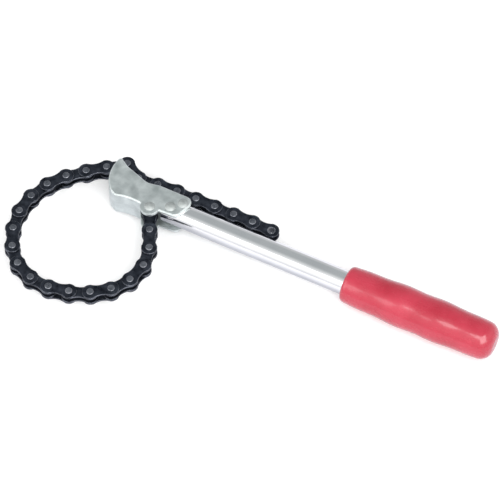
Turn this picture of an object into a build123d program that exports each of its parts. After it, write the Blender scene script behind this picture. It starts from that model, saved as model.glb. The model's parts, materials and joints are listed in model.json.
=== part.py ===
from build123d import *
import os
from math import acos, cos, degrees, radians, sin

# Chain-type strap wrench, lying flat. Millimetres, degrees.
# +X runs along the handle towards the grip, +Y towards the side where the chain's tail lies,
# +Z is up, square to the plane of the chain loop.
# Origin: on the lower cheek's outer face, under the handle's centre line, midway between the two
# handle rivets. The pieces are drawn about the loop's mid plane and lifted when they are saved.

# ---------------------------------------------------------------- bush chain
PITCH = 12.7
LINK_COUNT = 27                 # odd links are inner links, even links are outer links
PLATE_END_RADIUS = 4.8
PLATE_WAIST_HALF = 3.5          # half the plate's width at mid length
PLATE_THICKNESS = 1.0
PLATE_EDGE_BREAK = 0.2
INNER_GAP_HALF = 1.65           # half the gap between the two inner plates
PLATE_SIDE_PLAY = 0.1           # between an inner plate and the outer plate beside it
PIN_RADIUS = 1.7
BUSH_BORE_RADIUS = 1.75
BUSH_RADIUS = 2.4
PRESSED_GAP = 0.02              # radial, between a pressed piece and its hole
PIN_HEAD_RADIUS = 2.15
PIN_HEAD_HEIGHT = 0.4
PIN_HEAD_CHAMFER = 0.24

INNER_FACE = INNER_GAP_HALF + PLATE_THICKNESS           # outer face of the inner plates
OUTER_FACE = INNER_FACE + PLATE_SIDE_PLAY + PLATE_THICKNESS

# ------------------------------------------------------- chain path at rest
ANCHOR = (-14.3, -8.0)          # centre of the anchor rivet
FIRST_HEADING = -64.0           # direction of link 1
LOOP_TURNS = [0, 15, 23, 22, 19, 14, 12, 16, 20, 22, 17, 15, 17, 16, 14, 11, 5, 1]
NOSE_HEADING = -30.0            # link 20, where the chain bends over the nose
TAIL_HEADINGS = [4.0, 4.0, 0.0, 0.0, 0.0, 0.0, 0.0]     # links 21 to 27, above the tube

# --------------------------------------------------------------------- head
CHEEK_INNER = 7.55              # half the width between the cheeks
CHEEK_THICKNESS = 2.0
CHEEK_OUTER = CHEEK_INNER + CHEEK_THICKNESS
WEB_THICKNESS = 2.5
NOSE_CORNER = (-46.3, 16.5)
BACK_LINE = [(-39.4, 12.3), (-23.5, 6.9), (-15.5, 8.4)]
REAR_TOP = (9.2, 8.3)
REAR_BOTTOM = (3.4, -7.8)
FRONT_EDGE_MID = (-47.6, 6.3)
JAW_FRONT = (-41.2, -7.8)
JAW_TIP = (-37.0, -10.0)
JAW_MID = (-27.5, -8.1)
JAW_REAR = (-18.5, -8.9)
CORNER_RADII = [
    (NOSE_CORNER, 1.4),
    (BACK_LINE[0], 10.0),
    (BACK_LINE[1], 9.0),
    (BACK_LINE[2], 8.0),
    (REAR_TOP, 4.5),
    (REAR_BOTTOM, 4.0),
    (JAW_FRONT, 3.0),
    (JAW_TIP, 2.5),
]
EAR_RADIUS = 5.8                # round the anchor rivet
WEB_TOP = [(-52.0, 5.5), (-46.9, 8.0), (-44.6, 9.9), (-41.4, 11.5)]     # edge of the nose web
BACK_OPENING = [(-38.0, 4.0), (-15.0, -2.0), (12.0, -2.0), (12.0, 30.0), (-52.0, 30.0)]
BELLY_OPENING = [(-20.4, 10.0), (-20.4, -30.0), (20.0, -30.0), (20.0, 10.0)]
BEND_CHAMFER = 0.8              # takes the place of the small outside bend between web and cheeks
PRESSED_LIMIT = -30.0           # the sheet is bent round where x + y stays below this

HELD_LINK = 19                  # the hook holds this link's second bush
HOOK_HALF_WIDTH = 1.45          # the hook stands between the plates of the held link
HOOK_THICKNESS = 1.9
HOOK_GAP = 0.2                  # between the hook's face and the bush it holds
HOOK_ABOVE = 1.1                # hook face above and below the bush's nearest point
HOOK_BELOW = 2.6
HOOK_TIP_SLOPE = 0.4            # the hook's back corner is this much lower than its front one
HOOK_ELBOW = 1.5                # where the hook's back bends towards the web
HOOK_ROOT = (-45.7, 7.0)

# ------------------------------------------------------------------- handle
TUBE_RADIUS = 7.5
TUBE_WALL = 1.8
TUBE_START = -7.5
TUBE_END = 200.0
RIVET_RADIUS = 2.0
RIVET_PLACES = [(3.0, 2.7), (-3.0, -2.7)]
RIVET_HEAD_RADIUS = 3.4
RIVET_HEAD_HEIGHT = 1.3
COUNTERSINK_DEPTH = 1.3
COUNTERSINK_EXTRA = 1.3         # how much wider the countersink is than the shank
HOLE_GAP = 0.05                 # radial, between rivet and hole
FACE_GAP = 0.02

ANCHOR_HEAD_RADIUS = 3.3
SPACER_RADIUS = 3.0
SPACER_END_GAP = 0.05

# --------------------------------------------------------------------- grip
GRIP_START = 112.5
GRIP_END = 209.5
GRIP_FRONT = (115.5, 11.3)      # (x, radius) where the front rounding ends
GRIP_MIDDLE = (164.0, 13.0)
GRIP_REAR = (201.5, 11.8)       # where the rounded butt begins
GRIP_LIP_RADIUS = 9.2           # front face
GRIP_BORE_RADIUS = TUBE_RADIUS + 0.05
GRIP_BORE_END = TUBE_END + 0.5
GRIP_BUTT_RADIUS = 4.0          # flat spot on the end

THROUGH = 40.0                  # longer than any hole that goes right through
ON_BASE = (Align.CENTER, Align.CENTER, Align.MIN)
LIFT = Location((0, 0, CHEEK_OUTER))
os.makedirs("parts", exist_ok=True)


def save(name, solids):
    lifted = [solid.moved(LIFT) for solid in solids]
    export_step(Compound(children=lifted), f"parts/{name}.step")


# ---------------------------------------------------------------- chain path
def link_headings():
    headings = [FIRST_HEADING]
    for turn in LOOP_TURNS:
        headings.append(headings[-1] - turn)
    return headings + [NOSE_HEADING] + TAIL_HEADINGS


def pin_centres():
    points = [ANCHOR]
    for heading in link_headings():
        x, y = points[-1]
        points.append((x + PITCH * cos(radians(heading)), y + PITCH * sin(radians(heading))))
    return points


def link_place(number):
    """Location of a link: its own X runs from its first pin to its second."""
    x, y = pin_centres()[number - 1]
    return Location((x, y, 0), (0, 0, link_headings()[number - 1]))


# --------------------------------------------------------------- chain pieces
def chain_plate(hole_radius, z_low):
    """Waisted plate with two holes, from its first pin at the origin along X."""
    half = PITCH / 2
    square_rest = half**2 + PLATE_WAIST_HALF**2 - PLATE_END_RADIUS**2
    waist_radius = square_rest / (2 * (PLATE_END_RADIUS - PLATE_WAIST_HALF))
    waist_offset = PLATE_WAIST_HALF + waist_radius
    with BuildPart() as plate:
        with BuildSketch(Plane.XY.offset(z_low)):
            with Locations((half, 0)):
                SlotCenterToCenter(PITCH, 2 * PLATE_END_RADIUS)
            with Locations((half, waist_offset), (half, -waist_offset)):
                Circle(waist_radius, mode=Mode.SUBTRACT)
        extrude(amount=PLATE_THICKNESS)
        rims = plate.faces().filter_by(Axis.Z).edges()
        chamfer(rims, PLATE_EDGE_BREAK)
        with Locations((0, 0, 0), (PITCH, 0, 0)):
            Cylinder(hole_radius, THROUGH, mode=Mode.SUBTRACT)
    return plate.part


def plate_pair(hole_radius, inner_face):
    upper = chain_plate(hole_radius, inner_face)
    return [upper, upper.mirror(Plane.XY)]


def bush():
    with BuildPart() as part:
        Cylinder(BUSH_RADIUS, 2 * INNER_FACE)
        Cylinder(BUSH_BORE_RADIUS, 2 * INNER_FACE, mode=Mode.SUBTRACT)
    return part.part


def chain_pin():
    """Plain pin with a low riveted head beyond each outer plate."""
    with BuildPart() as part:
        Cylinder(PIN_RADIUS, 2 * OUTER_FACE + 2 * FACE_GAP)
        for side in (1, -1):
            with Locations((0, 0, side * (OUTER_FACE + FACE_GAP + PIN_HEAD_HEIGHT / 2))):
                Cylinder(PIN_HEAD_RADIUS, PIN_HEAD_HEIGHT)
        tips = part.edges().filter_by(GeomType.CIRCLE).sort_by(Axis.Z)
        chamfer([tips[0], tips[-1]], PIN_HEAD_CHAMFER)
    return part.part


def at_both_pins(piece):
    return [piece, piece.moved(Location((PITCH, 0, 0)))]


def build_chain():
    inner_plates = plate_pair(BUSH_RADIUS + PRESSED_GAP, INNER_GAP_HALF)
    outer_plates = plate_pair(PIN_RADIUS + PRESSED_GAP, INNER_FACE + PLATE_SIDE_PLAY)
    bushes = at_both_pins(bush())
    pins = at_both_pins(chain_pin())
    for number in range(1, LINK_COUNT + 1):
        inner = number % 2 == 1
        pieces = {
            "inner_plates" if inner else "outer_plates": inner_plates if inner else outer_plates,
            "bushes" if inner else "pins": bushes if inner else pins,
        }
        for kind, solids in pieces.items():
            placed = [solid.moved(link_place(number)) for solid in solids]
            save(f"link_{number:02d}_{kind}", placed)


# ----------------------------------------------------------------------- head
def cheek_outline():
    """Side view of the head, as one sketch."""
    with BuildSketch() as outline:
        with BuildLine():
            Polyline(NOSE_CORNER, *BACK_LINE, REAR_TOP, REAR_BOTTOM, JAW_REAR)
            ThreePointArc(JAW_REAR, JAW_MID, JAW_TIP)
            Line(JAW_TIP, JAW_FRONT)
            ThreePointArc(JAW_FRONT, FRONT_EDGE_MID, NOSE_CORNER)
        make_face()
        with Locations(ANCHOR):
            Circle(EAR_RADIUS)
    return outline.sketch


def hook_points():
    """Corners of the hook: its face stands square to the held link, just clear of its bush."""
    nose_x, nose_y = pin_centres()[HELD_LINK]
    heading = radians(link_headings()[HELD_LINK - 1])
    along = (cos(heading), sin(heading))
    face = (-along[1], along[0])
    reach = BUSH_RADIUS + HOOK_GAP

    def corner(back, up):
        return (nose_x - along[0] * back + face[0] * up, nose_y - along[1] * back + face[1] * up)

    return [
        corner(reach, -HOOK_BELOW),
        corner(reach, HOOK_ABOVE),
        corner(reach + HOOK_THICKNESS, HOOK_ABOVE - HOOK_TIP_SLOPE),
        corner(reach + HOOK_THICKNESS, -HOOK_ELBOW),
        (HOOK_ROOT[0] - HOOK_THICKNESS / 2, HOOK_ROOT[1]),
        (HOOK_ROOT[0] + HOOK_THICKNESS / 2, HOOK_ROOT[1]),
    ]


def pressed_edges(head):
    """The cheeks' edges along the nose and the jaw, where the sheet is bent round."""
    rims = head.faces().filter_by(Axis.Z).edges()
    return [rim for rim in rims if rim.center().X + rim.center().Y < PRESSED_LIMIT]


def countersunk_hole(place, radius):
    """Hole through both cheeks, countersunk in the lower one."""
    with Locations((*place, 0)):
        Cylinder(radius, THROUGH, mode=Mode.SUBTRACT)
    with Locations((*place, -CHEEK_OUTER + COUNTERSINK_DEPTH / 2)):
        Cone(radius + COUNTERSINK_EXTRA, radius, COUNTERSINK_DEPTH, mode=Mode.SUBTRACT)


def head_channel():
    outline = cheek_outline()
    with BuildPart() as head:
        with BuildSketch(Plane.XY.offset(-CHEEK_OUTER)):
            add(outline)
        extrude(amount=2 * CHEEK_OUTER)
        for corner, radius in CORNER_RADII:
            corner_edges = head.edges().filter_by(Axis.Z).sort_by_distance((*corner, 0))
            fillet(corner_edges[0], radius)
        chamfer(pressed_edges(head), BEND_CHAMFER)
        with BuildSketch(Plane.XY.offset(-CHEEK_INNER)):
            offset(outline, amount=-WEB_THICKNESS)
            Polygon(*WEB_TOP, *BACK_OPENING, align=None)
            Polygon(*BELLY_OPENING, align=None)
        extrude(amount=2 * CHEEK_INNER, mode=Mode.SUBTRACT)
        with BuildSketch(Plane.XY.offset(-HOOK_HALF_WIDTH)):
            Polygon(*hook_points(), align=None)
        extrude(amount=2 * HOOK_HALF_WIDTH)
        countersunk_hole(ANCHOR, PIN_RADIUS + HOLE_GAP)
        for place in RIVET_PLACES:
            countersunk_hole(place, RIVET_RADIUS + HOLE_GAP)
    return head.part


# --------------------------------------------------------------------- rivets
def rivet(radius, head_radius):
    """Cross rivet: domed head above the upper cheek, flush countersunk end in the lower one."""
    seat = CHEEK_OUTER + FACE_GAP
    dome_radius = (head_radius**2 + RIVET_HEAD_HEIGHT**2) / (2 * RIVET_HEAD_HEIGHT)
    rim_angle = degrees(acos(head_radius / dome_radius))
    with BuildPart() as part:
        with Locations((0, 0, (seat - CHEEK_OUTER) / 2)):
            Cylinder(radius, seat + CHEEK_OUTER)
        with Locations((0, 0, -CHEEK_OUTER + COUNTERSINK_DEPTH / 2)):
            Cone(radius + COUNTERSINK_EXTRA, radius, COUNTERSINK_DEPTH)
        with Locations((0, 0, seat)):
            Sphere(dome_radius, arc_size1=rim_angle, arc_size2=90, align=ON_BASE)
    return part.part


def anchor_spacers():
    """Two tubes on the anchor rivet that centre link 1 between the cheeks."""
    low = INNER_FACE + SPACER_END_GAP
    high = CHEEK_INNER - SPACER_END_GAP
    with BuildPart() as spacer:
        with Locations((*ANCHOR, (low + high) / 2)):
            Cylinder(SPACER_RADIUS, high - low)
            Cylinder(PIN_RADIUS + HOLE_GAP, high - low, mode=Mode.SUBTRACT)
    return [spacer.part, spacer.part.mirror(Plane.XY)]


# --------------------------------------------------------------------- handle
def handle_tube():
    length = TUBE_END - TUBE_START
    with BuildPart() as tube:
        with Locations(Location((TUBE_START, 0, 0), (0, 90, 0))):
            Cylinder(TUBE_RADIUS, length, align=ON_BASE)
            Cylinder(TUBE_RADIUS - TUBE_WALL, length, align=ON_BASE, mode=Mode.SUBTRACT)
        for place in RIVET_PLACES:
            with Locations((*place, 0)):
                Cylinder(RIVET_RADIUS + HOLE_GAP, THROUGH, mode=Mode.SUBTRACT)
    return tube.part


def grip():
    """Moulded grip: rounded front lip, barrel body and rounded butt, bored blind for the tube."""
    with BuildPart() as part:
        with BuildSketch(Plane.XY):
            with BuildLine():
                Line((GRIP_START, 0), (GRIP_START, GRIP_LIP_RADIUS))
                body = Spline(GRIP_FRONT, GRIP_MIDDLE, GRIP_REAR)
                TangentArc(body @ 0, (GRIP_START, GRIP_LIP_RADIUS), tangent=-(body % 0))
                TangentArc(body @ 1, (GRIP_END, GRIP_BUTT_RADIUS), tangent=body % 1)
                Polyline((GRIP_END, GRIP_BUTT_RADIUS), (GRIP_END, 0), (GRIP_START, 0))
            make_face()
        revolve(axis=Axis.X)
        with Locations(Location((GRIP_START, 0, 0), (0, 90, 0))):
            bore_depth = GRIP_BORE_END - GRIP_START
            Cylinder(GRIP_BORE_RADIUS, bore_depth, align=ON_BASE, mode=Mode.SUBTRACT)
    return part.part


save("head_channel", [head_channel()])
save("handle_tube", [handle_tube()])
handle_rivet = rivet(RIVET_RADIUS, RIVET_HEAD_RADIUS)
save("handle_rivets", [handle_rivet.moved(Location((*place, 0))) for place in RIVET_PLACES])
save("grip", [grip()])
save("anchor_rivet", [rivet(PIN_RADIUS, ANCHOR_HEAD_RADIUS).moved(Location((*ANCHOR, 0)))])
save("anchor_spacers", anchor_spacers())
build_chain()
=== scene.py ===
import json
import math

import bmesh
import bpy
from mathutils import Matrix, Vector


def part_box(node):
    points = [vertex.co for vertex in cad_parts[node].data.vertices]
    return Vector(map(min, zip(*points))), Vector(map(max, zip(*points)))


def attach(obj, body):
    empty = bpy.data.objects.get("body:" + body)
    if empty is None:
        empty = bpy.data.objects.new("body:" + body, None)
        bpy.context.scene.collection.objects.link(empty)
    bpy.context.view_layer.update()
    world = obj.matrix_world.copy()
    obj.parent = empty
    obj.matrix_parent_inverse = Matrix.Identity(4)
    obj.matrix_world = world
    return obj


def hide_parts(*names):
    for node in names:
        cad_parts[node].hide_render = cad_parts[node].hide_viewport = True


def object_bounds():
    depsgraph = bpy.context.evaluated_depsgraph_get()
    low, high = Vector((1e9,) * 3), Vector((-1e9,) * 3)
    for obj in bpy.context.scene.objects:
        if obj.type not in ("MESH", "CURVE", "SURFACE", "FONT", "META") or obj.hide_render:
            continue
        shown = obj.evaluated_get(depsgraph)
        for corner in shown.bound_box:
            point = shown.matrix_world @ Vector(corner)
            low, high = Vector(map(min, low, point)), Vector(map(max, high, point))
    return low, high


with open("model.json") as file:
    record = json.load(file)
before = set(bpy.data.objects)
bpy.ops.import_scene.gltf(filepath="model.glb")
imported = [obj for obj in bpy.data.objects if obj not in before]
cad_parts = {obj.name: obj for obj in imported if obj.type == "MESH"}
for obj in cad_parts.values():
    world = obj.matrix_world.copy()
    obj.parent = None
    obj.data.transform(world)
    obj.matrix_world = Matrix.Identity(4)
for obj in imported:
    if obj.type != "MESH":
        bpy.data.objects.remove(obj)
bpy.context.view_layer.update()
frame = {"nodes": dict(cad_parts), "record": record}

MM = 0.001
HANDLE_BODY = "handle_and_head"
LOOP_PLANE_Z = 9.55 * MM
WHITE = (1.0, 1.0, 1.0)

# Camera: seen from above and from the near side, handle running to the lower right.
VIEW_AZIMUTH = math.radians(25.95)
VIEW_ELEVATION = math.radians(58.0)
VIEW_TARGET = Vector((0.0510, -0.0041, LOOP_PLANE_Z))
VIEW_WIDTH = 0.300
VIEW_DISTANCE = 1.8
SENSOR_WIDTH = 36.0
CLIP_END = 20

# Grip: a barrel of revolution, thickest near its middle, with shallow finger swells.
GRIP_BORE = 7.55 * MM            # radius, as on the CAD grip
GRIP_MOUTH_DEPTH = 6.0 * MM      # how far the bore is drawn inwards along the tube
GRIP_MOUTH_CHAMFER = (0.6 * MM, 0.5 * MM)    # along the tube, and outwards
GRIP_FRONT = 11.3 * MM           # radii
GRIP_MIDDLE = 12.95 * MM
GRIP_REAR = 11.75 * MM
GRIP_LIP = 3.0 * MM              # length of the front rounding
GRIP_LIP_DROP = 0.8              # its height as a share of its length
GRIP_BUTT = 8.0 * MM             # length of the rear rounding
GRIP_BUTT_FLAT = 4.0 * MM        # radius of the flat spot on the end
GRIP_END_RING = 2.0 * MM         # last ring, inside that flat
SWELL_CREST = 35.5 * MM          # from the grip's front to the crest of a finger swell
SWELL_PITCH = 26.0 * MM
SWELL_DEPTH = 0.56 * MM          # crest to hollow, on the radius
GRIP_SIDES = 96
LIP_STEPS = 8
BARREL_STEPS = 120
BUTT_STEPS = 16

# Floor and world.
FLOOR_HALF_SIDE = 3.0
FLOOR_GAP = 0.2 * MM
FLOOR_GREY = (0.94, 0.94, 0.94)
MIRRORED_FLOOR_GREY = (0.70, 0.70, 0.74)
FLOOR_GLOW = 0.08
WORLD_STRENGTH = 1.10
WORLD_GREY = (0.80, 0.80, 0.80)
PATCH_GREY = (0.36, 0.38, 0.39)
PATCH_ELEVATION = math.radians(56)
BAND_GREY = (0.66, 0.66, 0.69)

# Sockets of a colour mix node, which holds one set of sockets for each kind of data.
MIX_SHARE, MIX_FIRST, MIX_SECOND, MIX_RESULT = 0, 6, 7, 2
BEVEL_SAMPLES = 4
EDGE_START, EDGE_FULL = 0.02, 0.25      # how far a normal turns where an edge mask starts and is full


def outwards(azimuth, elevation):
    """Unit vector from the object towards a camera or lamp; azimuth 0 is the -Y side."""
    return Vector((
        math.sin(azimuth) * math.cos(elevation),
        -math.cos(azimuth) * math.cos(elevation),
        math.sin(elevation),
    ))


def add_to_scene(name, data):
    obj = bpy.data.objects.new(name, data)
    bpy.context.scene.collection.objects.link(obj)
    return obj


def aim(obj, direction, distance):
    """Place a camera or lamp out from the view's target, looking back at it."""
    obj.location = VIEW_TARGET + direction * distance
    obj.rotation_euler = direction.to_track_quat("Z", "Y").to_euler()


# ------------------------------------------------------------------ node helpers
class Graph:
    """Adds and links the nodes of one node tree."""

    def __init__(self, tree):
        self.tree = tree
        self.tree.nodes.clear()

    def node(self, kind, **settings):
        made = self.tree.nodes.new(kind)
        for key, value in settings.items():
            setattr(made, key, value)
        return made

    def link(self, source, target):
        self.tree.links.new(source, target)

    def feed(self, socket, value):
        """Give a socket another node's output, a colour or a number."""
        if isinstance(value, bpy.types.NodeSocket):
            self.link(value, socket)
        elif isinstance(value, tuple):
            socket.default_value = (*value, 1)
        else:
            socket.default_value = value

    def ramp(self, source, low, high):
        """Colour or value ramp between two stops, each of them (place, colour or value)."""
        made = self.node("ShaderNodeValToRGB")
        for element, (place, value) in zip(made.color_ramp.elements, (low, high)):
            element.position = place
            element.color = (value, value, value, 1) if isinstance(value, float) else (*value, 1)
        self.link(source, made.inputs["Fac"])
        return made.outputs["Color"]

    def mix(self, share, first, second, blend="MIX"):
        made = self.node("ShaderNodeMix", data_type="RGBA", blend_type=blend)
        self.feed(made.inputs[MIX_SHARE], share)
        self.feed(made.inputs[MIX_FIRST], first)
        self.feed(made.inputs[MIX_SECOND], second)
        return made.outputs[MIX_RESULT]

    def math(self, operation, first, second):
        made = self.node("ShaderNodeMath", operation=operation)
        self.feed(made.inputs[0], first)
        self.feed(made.inputs[1], second)
        return made.outputs[0]

    def cosine(self, first, second):
        """Dot product of two directions; the second may be fixed numbers."""
        made = self.node("ShaderNodeVectorMath", operation="DOT_PRODUCT")
        self.link(first, made.inputs[0])
        if isinstance(second, bpy.types.NodeSocket):
            self.link(second, made.inputs[1])
        else:
            made.inputs[1].default_value = second
        return made.outputs["Value"]


class Shader(Graph):
    """The node tree of one material, around a Principled surface."""

    def __init__(self, name):
        self.material = bpy.data.materials.new(name)
        self.material.use_nodes = True
        super().__init__(self.material.node_tree)
        out = self.node("ShaderNodeOutputMaterial")
        self.surface = self.node("ShaderNodeBsdfPrincipled")
        self.link(self.surface.outputs["BSDF"], out.inputs["Surface"])
        self.position = self.node("ShaderNodeTexCoord").outputs["Object"]

    def set(self, **values):
        """Set fixed inputs of the surface; an underscore stands for the space in an input's name."""
        for key, value in values.items():
            self.surface.inputs[key.replace("_", " ")].default_value = value

    def drive(self, **sources):
        """Link inputs of the surface, named as in set."""
        for key, source in sources.items():
            self.link(source, self.surface.inputs[key.replace("_", " ")])

    def noise(self, scale, detail=3.0, roughness=0.5, stretch=None):
        """Noise over the object's own place: scale is features per metre."""
        made = self.node("ShaderNodeTexNoise")
        made.inputs["Scale"].default_value = scale
        made.inputs["Detail"].default_value = detail
        made.inputs["Roughness"].default_value = roughness
        source = self.position
        if stretch is not None:
            mapping = self.node("ShaderNodeMapping")
            mapping.inputs["Scale"].default_value = stretch
            self.link(source, mapping.inputs["Vector"])
            source = mapping.outputs["Vector"]
        self.link(source, made.inputs["Vector"])
        return made.outputs["Fac"]

    def rounded_normal(self, radius):
        """The surface's normal as if its sharp edges were broken by a radius."""
        made = self.node("ShaderNodeBevel", samples=BEVEL_SAMPLES)
        made.inputs["Radius"].default_value = radius
        return made.outputs["Normal"]

    def edges(self, radius):
        """A mask that is 1 along sharp edges."""
        normal = self.node("ShaderNodeNewGeometry").outputs["Normal"]
        turned = self.math("SUBTRACT", 1.0, self.cosine(self.rounded_normal(radius), normal))
        return self.ramp(turned, (EDGE_START, 0.0), (EDGE_FULL, 1.0))

    def bump(self, height, strength, distance, rounding=None):
        """Bump on the surface; with rounding, sharp edges are shaded as if broken by that radius."""
        made = self.node("ShaderNodeBump")
        made.inputs["Strength"].default_value = strength
        made.inputs["Distance"].default_value = distance
        self.link(height, made.inputs["Height"])
        if rounding is not None:
            self.link(self.rounded_normal(rounding), made.inputs["Normal"])
        self.drive(Normal=made.outputs["Normal"])


# ---------------------------------------------------------------------- materials
def plated_steel(name):
    """Zinc-plated pressed steel: satin, slightly green-grey, clouded, brighter on worn edges."""
    dull, bright, edge = (0.56, 0.61, 0.60), (0.78, 0.83, 0.82), (0.84, 0.86, 0.86)
    s = Shader(name)
    cloud = s.noise(150, detail=5, roughness=0.6)
    speck = s.noise(1400, detail=2)
    worn = s.math("MULTIPLY", s.edges(0.5 * MM), 0.35)
    s.drive(
        Base_Color=s.mix(worn, s.ramp(cloud, (0.32, dull), (0.68, bright)), edge),
        Roughness=s.ramp(cloud, (0.30, 0.42), (0.72, 0.56)),
    )
    s.set(Metallic=1.0)
    height = s.math("ADD", s.math("MULTIPLY", cloud, 0.7), s.math("MULTIPLY", speck, 0.3))
    s.bump(height, strength=0.16, distance=0.10 * MM, rounding=0.9 * MM)
    return s.material


def chrome(name):
    """Bright chrome plate with faint handling marks along the tube, and painted shade: its colour
    greys where the surface faces down.
    """
    plain, bright, painted_shade_grey = (0.92, 0.93, 0.94), (0.98, 0.985, 0.99), (0.60, 0.61, 0.63)
    s = Shader(name)
    streaks = s.noise(900, detail=4, stretch=(0.03, 1.0, 1.0))
    smudge = s.noise(60, detail=4)
    split = s.node("ShaderNodeSeparateXYZ")
    s.link(s.node("ShaderNodeNewGeometry").outputs["Normal"], split.inputs[0])
    plate = s.ramp(smudge, (0.35, plain), (0.65, bright))
    # Painted shade: the base colour falls to grey as the normal turns downwards, darkening the tube's
    # lower side.
    painted_shade_below = s.ramp(split.outputs["Z"], (0.0, painted_shade_grey), (0.38, WHITE))
    s.drive(
        Base_Color=s.mix(1.0, plate, painted_shade_below, blend="MULTIPLY"),
        Roughness=s.ramp(smudge, (0.35, 0.05), (0.75, 0.13)),
    )
    s.set(Metallic=1.0)
    s.bump(streaks, strength=0.06, distance=0.05 * MM)
    return s.material


def rivet_steel(name):
    """Satin grey steel with rubbed edges."""
    dull, bright, edge = (0.44, 0.47, 0.46), (0.56, 0.59, 0.58), (0.80, 0.82, 0.81)
    s = Shader(name)
    grain = s.noise(700, detail=4)
    worn = s.math("MULTIPLY", s.edges(0.5 * MM), 0.5)
    s.drive(
        Base_Color=s.mix(worn, s.ramp(grain, (0.3, dull), (0.7, bright)), edge),
        Roughness=s.ramp(grain, (0.3, 0.58), (0.7, 0.74)),
    )
    s.set(Metallic=1.0)
    s.bump(grain, strength=0.2, distance=0.06 * MM, rounding=0.3 * MM)
    return s.material


def blackened_steel(name, dark, light, rubbed, shine):
    """Oiled, blackened chain steel: blue-black with rubbed, brighter edges."""
    s = Shader(name)
    oil = s.noise(220, detail=4, roughness=0.6)
    pits = s.noise(1800, detail=3)
    worn = s.math("MULTIPLY", s.edges(0.45 * MM), s.ramp(oil, (0.35, 0.25), (0.65, 1.0)))
    s.drive(
        Base_Color=s.mix(worn, s.ramp(oil, (0.30, dark), (0.72, light)), rubbed),
        Roughness=s.ramp(oil, (0.30, shine), (0.72, shine + 0.18)),
    )
    s.set(Metallic=0.85)
    s.bump(pits, strength=0.3, distance=0.05 * MM, rounding=0.25 * MM)
    return s.material


def red_plastic(name):
    """Glossy moulded red grip with a faint orange-peel skin."""
    deep, light = (0.365, 0.011, 0.030), (0.465, 0.030, 0.058)
    s = Shader(name)
    mottle = s.noise(55, detail=4, roughness=0.55)
    peel = s.noise(520, detail=2)
    scuff = s.noise(260, detail=5, roughness=0.7, stretch=(0.5, 1.0, 1.0))
    s.drive(
        Base_Color=s.ramp(mottle, (0.30, deep), (0.70, light)),
        Roughness=s.ramp(scuff, (0.40, 0.20), (0.72, 0.36)),
    )
    s.set(Coat_Weight=0.6, Coat_Roughness=0.10, IOR=1.5)
    s.bump(peel, strength=0.25, distance=0.10 * MM)
    return s.material


MATERIALS = {
    "plated_head": plated_steel("zinc_plated_steel"),
    "chrome": chrome("chrome_plate"),
    "rivet_steel": rivet_steel("rivet_steel"),
    "red_grip": red_plastic("red_moulded_grip"),
    "chain_plate": blackened_steel(
        "blackened_chain_plate",
        dark=(0.010, 0.013, 0.020),
        light=(0.060, 0.068, 0.088),
        rubbed=(0.44, 0.46, 0.52),
        shine=0.24,
    ),
    "chain_pin": blackened_steel(
        "blackened_chain_pin",
        dark=(0.08, 0.09, 0.11),
        light=(0.24, 0.25, 0.28),
        rubbed=(0.60, 0.61, 0.65),
        shine=0.22,
    ),
}

for part in frame["record"]["subparts"]:
    surface = frame["nodes"][part["node"]].data
    surface.materials.clear()
    surface.materials.append(MATERIALS[part["material_slot"]])


# --------------------------------------------------------------------------- grip
def ring_mesh(name, stations, sides, axis_y, axis_z):
    """Closed surface of revolution about a line along X, from (x, radius) stations, with flat ends."""
    bm = bmesh.new()
    rings = []
    for x, radius in stations:
        ring = []
        for i in range(sides):
            angle = 2 * math.pi * i / sides
            y = axis_y + radius * math.cos(angle)
            z = axis_z + radius * math.sin(angle)
            ring.append(bm.verts.new((x, y, z)))
        rings.append(ring)
    for first, second in zip(rings, rings[1:]):
        for i in range(sides):
            j = (i + 1) % sides
            bm.faces.new((first[i], second[i], second[j], first[j]))
    bm.faces.new(rings[0])
    bm.faces.new(reversed(rings[-1]))
    bmesh.ops.recalc_face_normals(bm, faces=bm.faces)
    mesh = bpy.data.meshes.new(name)
    bm.to_mesh(mesh)
    bm.free()
    mesh.polygons.foreach_set("use_smooth", [True] * len(mesh.polygons))
    return add_to_scene(name, mesh)


def grip_stations(start, end):
    """The grip's outline as (x, radius) pairs, from inside the bore's mouth round to the butt."""
    barrel_start = start + GRIP_LIP
    barrel_length = end - GRIP_BUTT - barrel_start
    control = 2 * GRIP_MIDDLE - (GRIP_FRONT + GRIP_REAR) / 2
    chamfer_length, chamfer_height = GRIP_MOUTH_CHAMFER
    stations = [
        (start + GRIP_MOUTH_DEPTH, GRIP_BORE),
        (start + chamfer_length, GRIP_BORE),
        (start, GRIP_BORE + chamfer_height),
    ]
    for i in range(LIP_STEPS + 1):
        angle = math.pi / 2 * i / LIP_STEPS
        radius = GRIP_FRONT - GRIP_LIP * GRIP_LIP_DROP * (1 - math.sin(angle))
        stations.append((start + GRIP_LIP * (1 - math.cos(angle)), radius))
    for i in range(1, BARREL_STEPS):
        t = i / BARREL_STEPS
        x = barrel_start + barrel_length * t
        line = (1 - t) ** 2 * GRIP_FRONT + 2 * t * (1 - t) * control + t**2 * GRIP_REAR
        wave = (math.cos(2 * math.pi * (x - start - SWELL_CREST) / SWELL_PITCH) - 1) / 2
        fade = math.sin(math.pi * t) ** 0.5
        stations.append((x, line + SWELL_DEPTH * wave * fade))
    for i in range(BUTT_STEPS + 1):
        angle = math.pi / 2 * i / BUTT_STEPS
        radius = GRIP_BUTT_FLAT + (GRIP_REAR - GRIP_BUTT_FLAT) * math.cos(angle)
        stations.append((end - GRIP_BUTT * (1 - math.sin(angle)), radius))
    stations.append((end, GRIP_END_RING))
    return stations


def build_grip():
    low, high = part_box("grip")
    stations = grip_stations(low.x, high.x)
    piece = ring_mesh("grip_moulded", stations, GRIP_SIDES, (low.y + high.y) / 2, (low.z + high.z) / 2)
    piece.data.materials.append(MATERIALS["red_grip"])
    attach(piece, HANDLE_BODY)
    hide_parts("grip")


build_grip()


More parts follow.
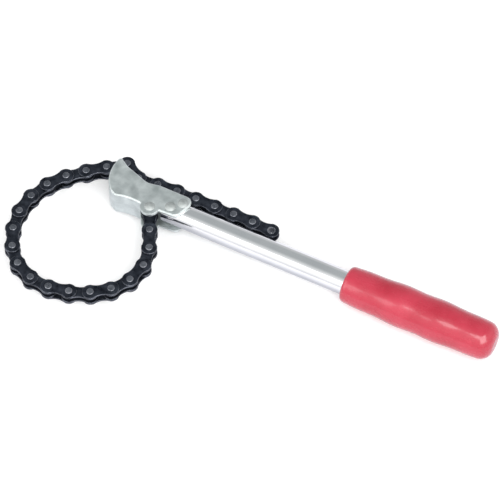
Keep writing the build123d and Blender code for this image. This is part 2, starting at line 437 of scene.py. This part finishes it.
# -------------------------------------------------------------------------- stage
def build_stage():
    """Pale floor under the object, darker in reflections, with a slight glow elsewhere."""
    low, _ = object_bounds()
    side = FLOOR_HALF_SIDE
    z = low[2] - FLOOR_GAP
    corners = [(-side, -side, z), (side, -side, z), (side, side, z), (-side, side, z)]
    mesh = bpy.data.meshes.new("floor")
    mesh.from_pydata(corners, [], [(0, 1, 2, 3)])
    floor = add_to_scene("floor", mesh)
    s = Shader("pale_floor")
    mirrored = s.node("ShaderNodeLightPath").outputs["Is Glossy Ray"]
    seen_directly = s.math("SUBTRACT", 1.0, mirrored)
    s.drive(
        Base_Color=s.mix(mirrored, FLOOR_GREY, MIRRORED_FLOOR_GREY),
        Emission_Strength=s.math("MULTIPLY", seen_directly, FLOOR_GLOW),
    )
    s.set(Roughness=0.7, Emission_Color=(*WHITE, 1))
    floor.data.materials.append(s.material)


def area_light(name, azimuth, elevation, distance, size, power):
    light = bpy.data.lights.new(name, "AREA")
    light.shape = "SQUARE"
    light.size = size
    light.energy = power
    aim(add_to_scene(name, light), outwards(azimuth, elevation), distance)


def build_world():
    """White studio; reflections also see a grey patch high on the far side and a low grey band."""
    world = bpy.data.worlds.new("studio")
    bpy.context.scene.world = world
    world.use_nodes = True
    graph = Graph(world.node_tree)
    out = graph.node("ShaderNodeOutputWorld")
    background = graph.node("ShaderNodeBackground")
    ray = graph.node("ShaderNodeTexCoord").outputs["Generated"]
    far_side = outwards(VIEW_AZIMUTH + math.pi, PATCH_ELEVATION)
    patch = graph.ramp(graph.cosine(ray, far_side), (0.35, WHITE), (0.92, PATCH_GREY))
    band = graph.ramp(graph.cosine(ray, (0.0, 0.0, 1.0)), (0.0, BAND_GREY), (0.40, WHITE))
    pattern = graph.mix(1.0, patch, band, blend="MULTIPLY")
    mirrored = graph.node("ShaderNodeLightPath").outputs["Is Glossy Ray"]
    graph.link(graph.mix(mirrored, WORLD_GREY, pattern), background.inputs["Color"])
    background.inputs["Strength"].default_value = WORLD_STRENGTH
    graph.link(background.outputs["Background"], out.inputs["Surface"])


def build_camera():
    data = bpy.data.cameras.new("camera")
    data.sensor_width = SENSOR_WIDTH
    data.lens = SENSOR_WIDTH * VIEW_DISTANCE / VIEW_WIDTH
    data.clip_end = CLIP_END
    camera = add_to_scene("camera", data)
    aim(camera, outwards(VIEW_AZIMUTH, VIEW_ELEVATION), VIEW_DISTANCE)
    bpy.context.scene.camera = camera


build_stage()
build_world()
area_light(
    "key",
    azimuth=VIEW_AZIMUTH + math.radians(20),
    elevation=math.radians(50),
    distance=0.9,
    size=0.7,
    power=6.0,
)
area_light(
    "fill",
    azimuth=VIEW_AZIMUTH - math.radians(70),
    elevation=math.radians(35),
    distance=1.0,
    size=0.8,
    power=3.0,
)
build_camera()
bpy.context.scene.view_settings.view_transform = "Standard"
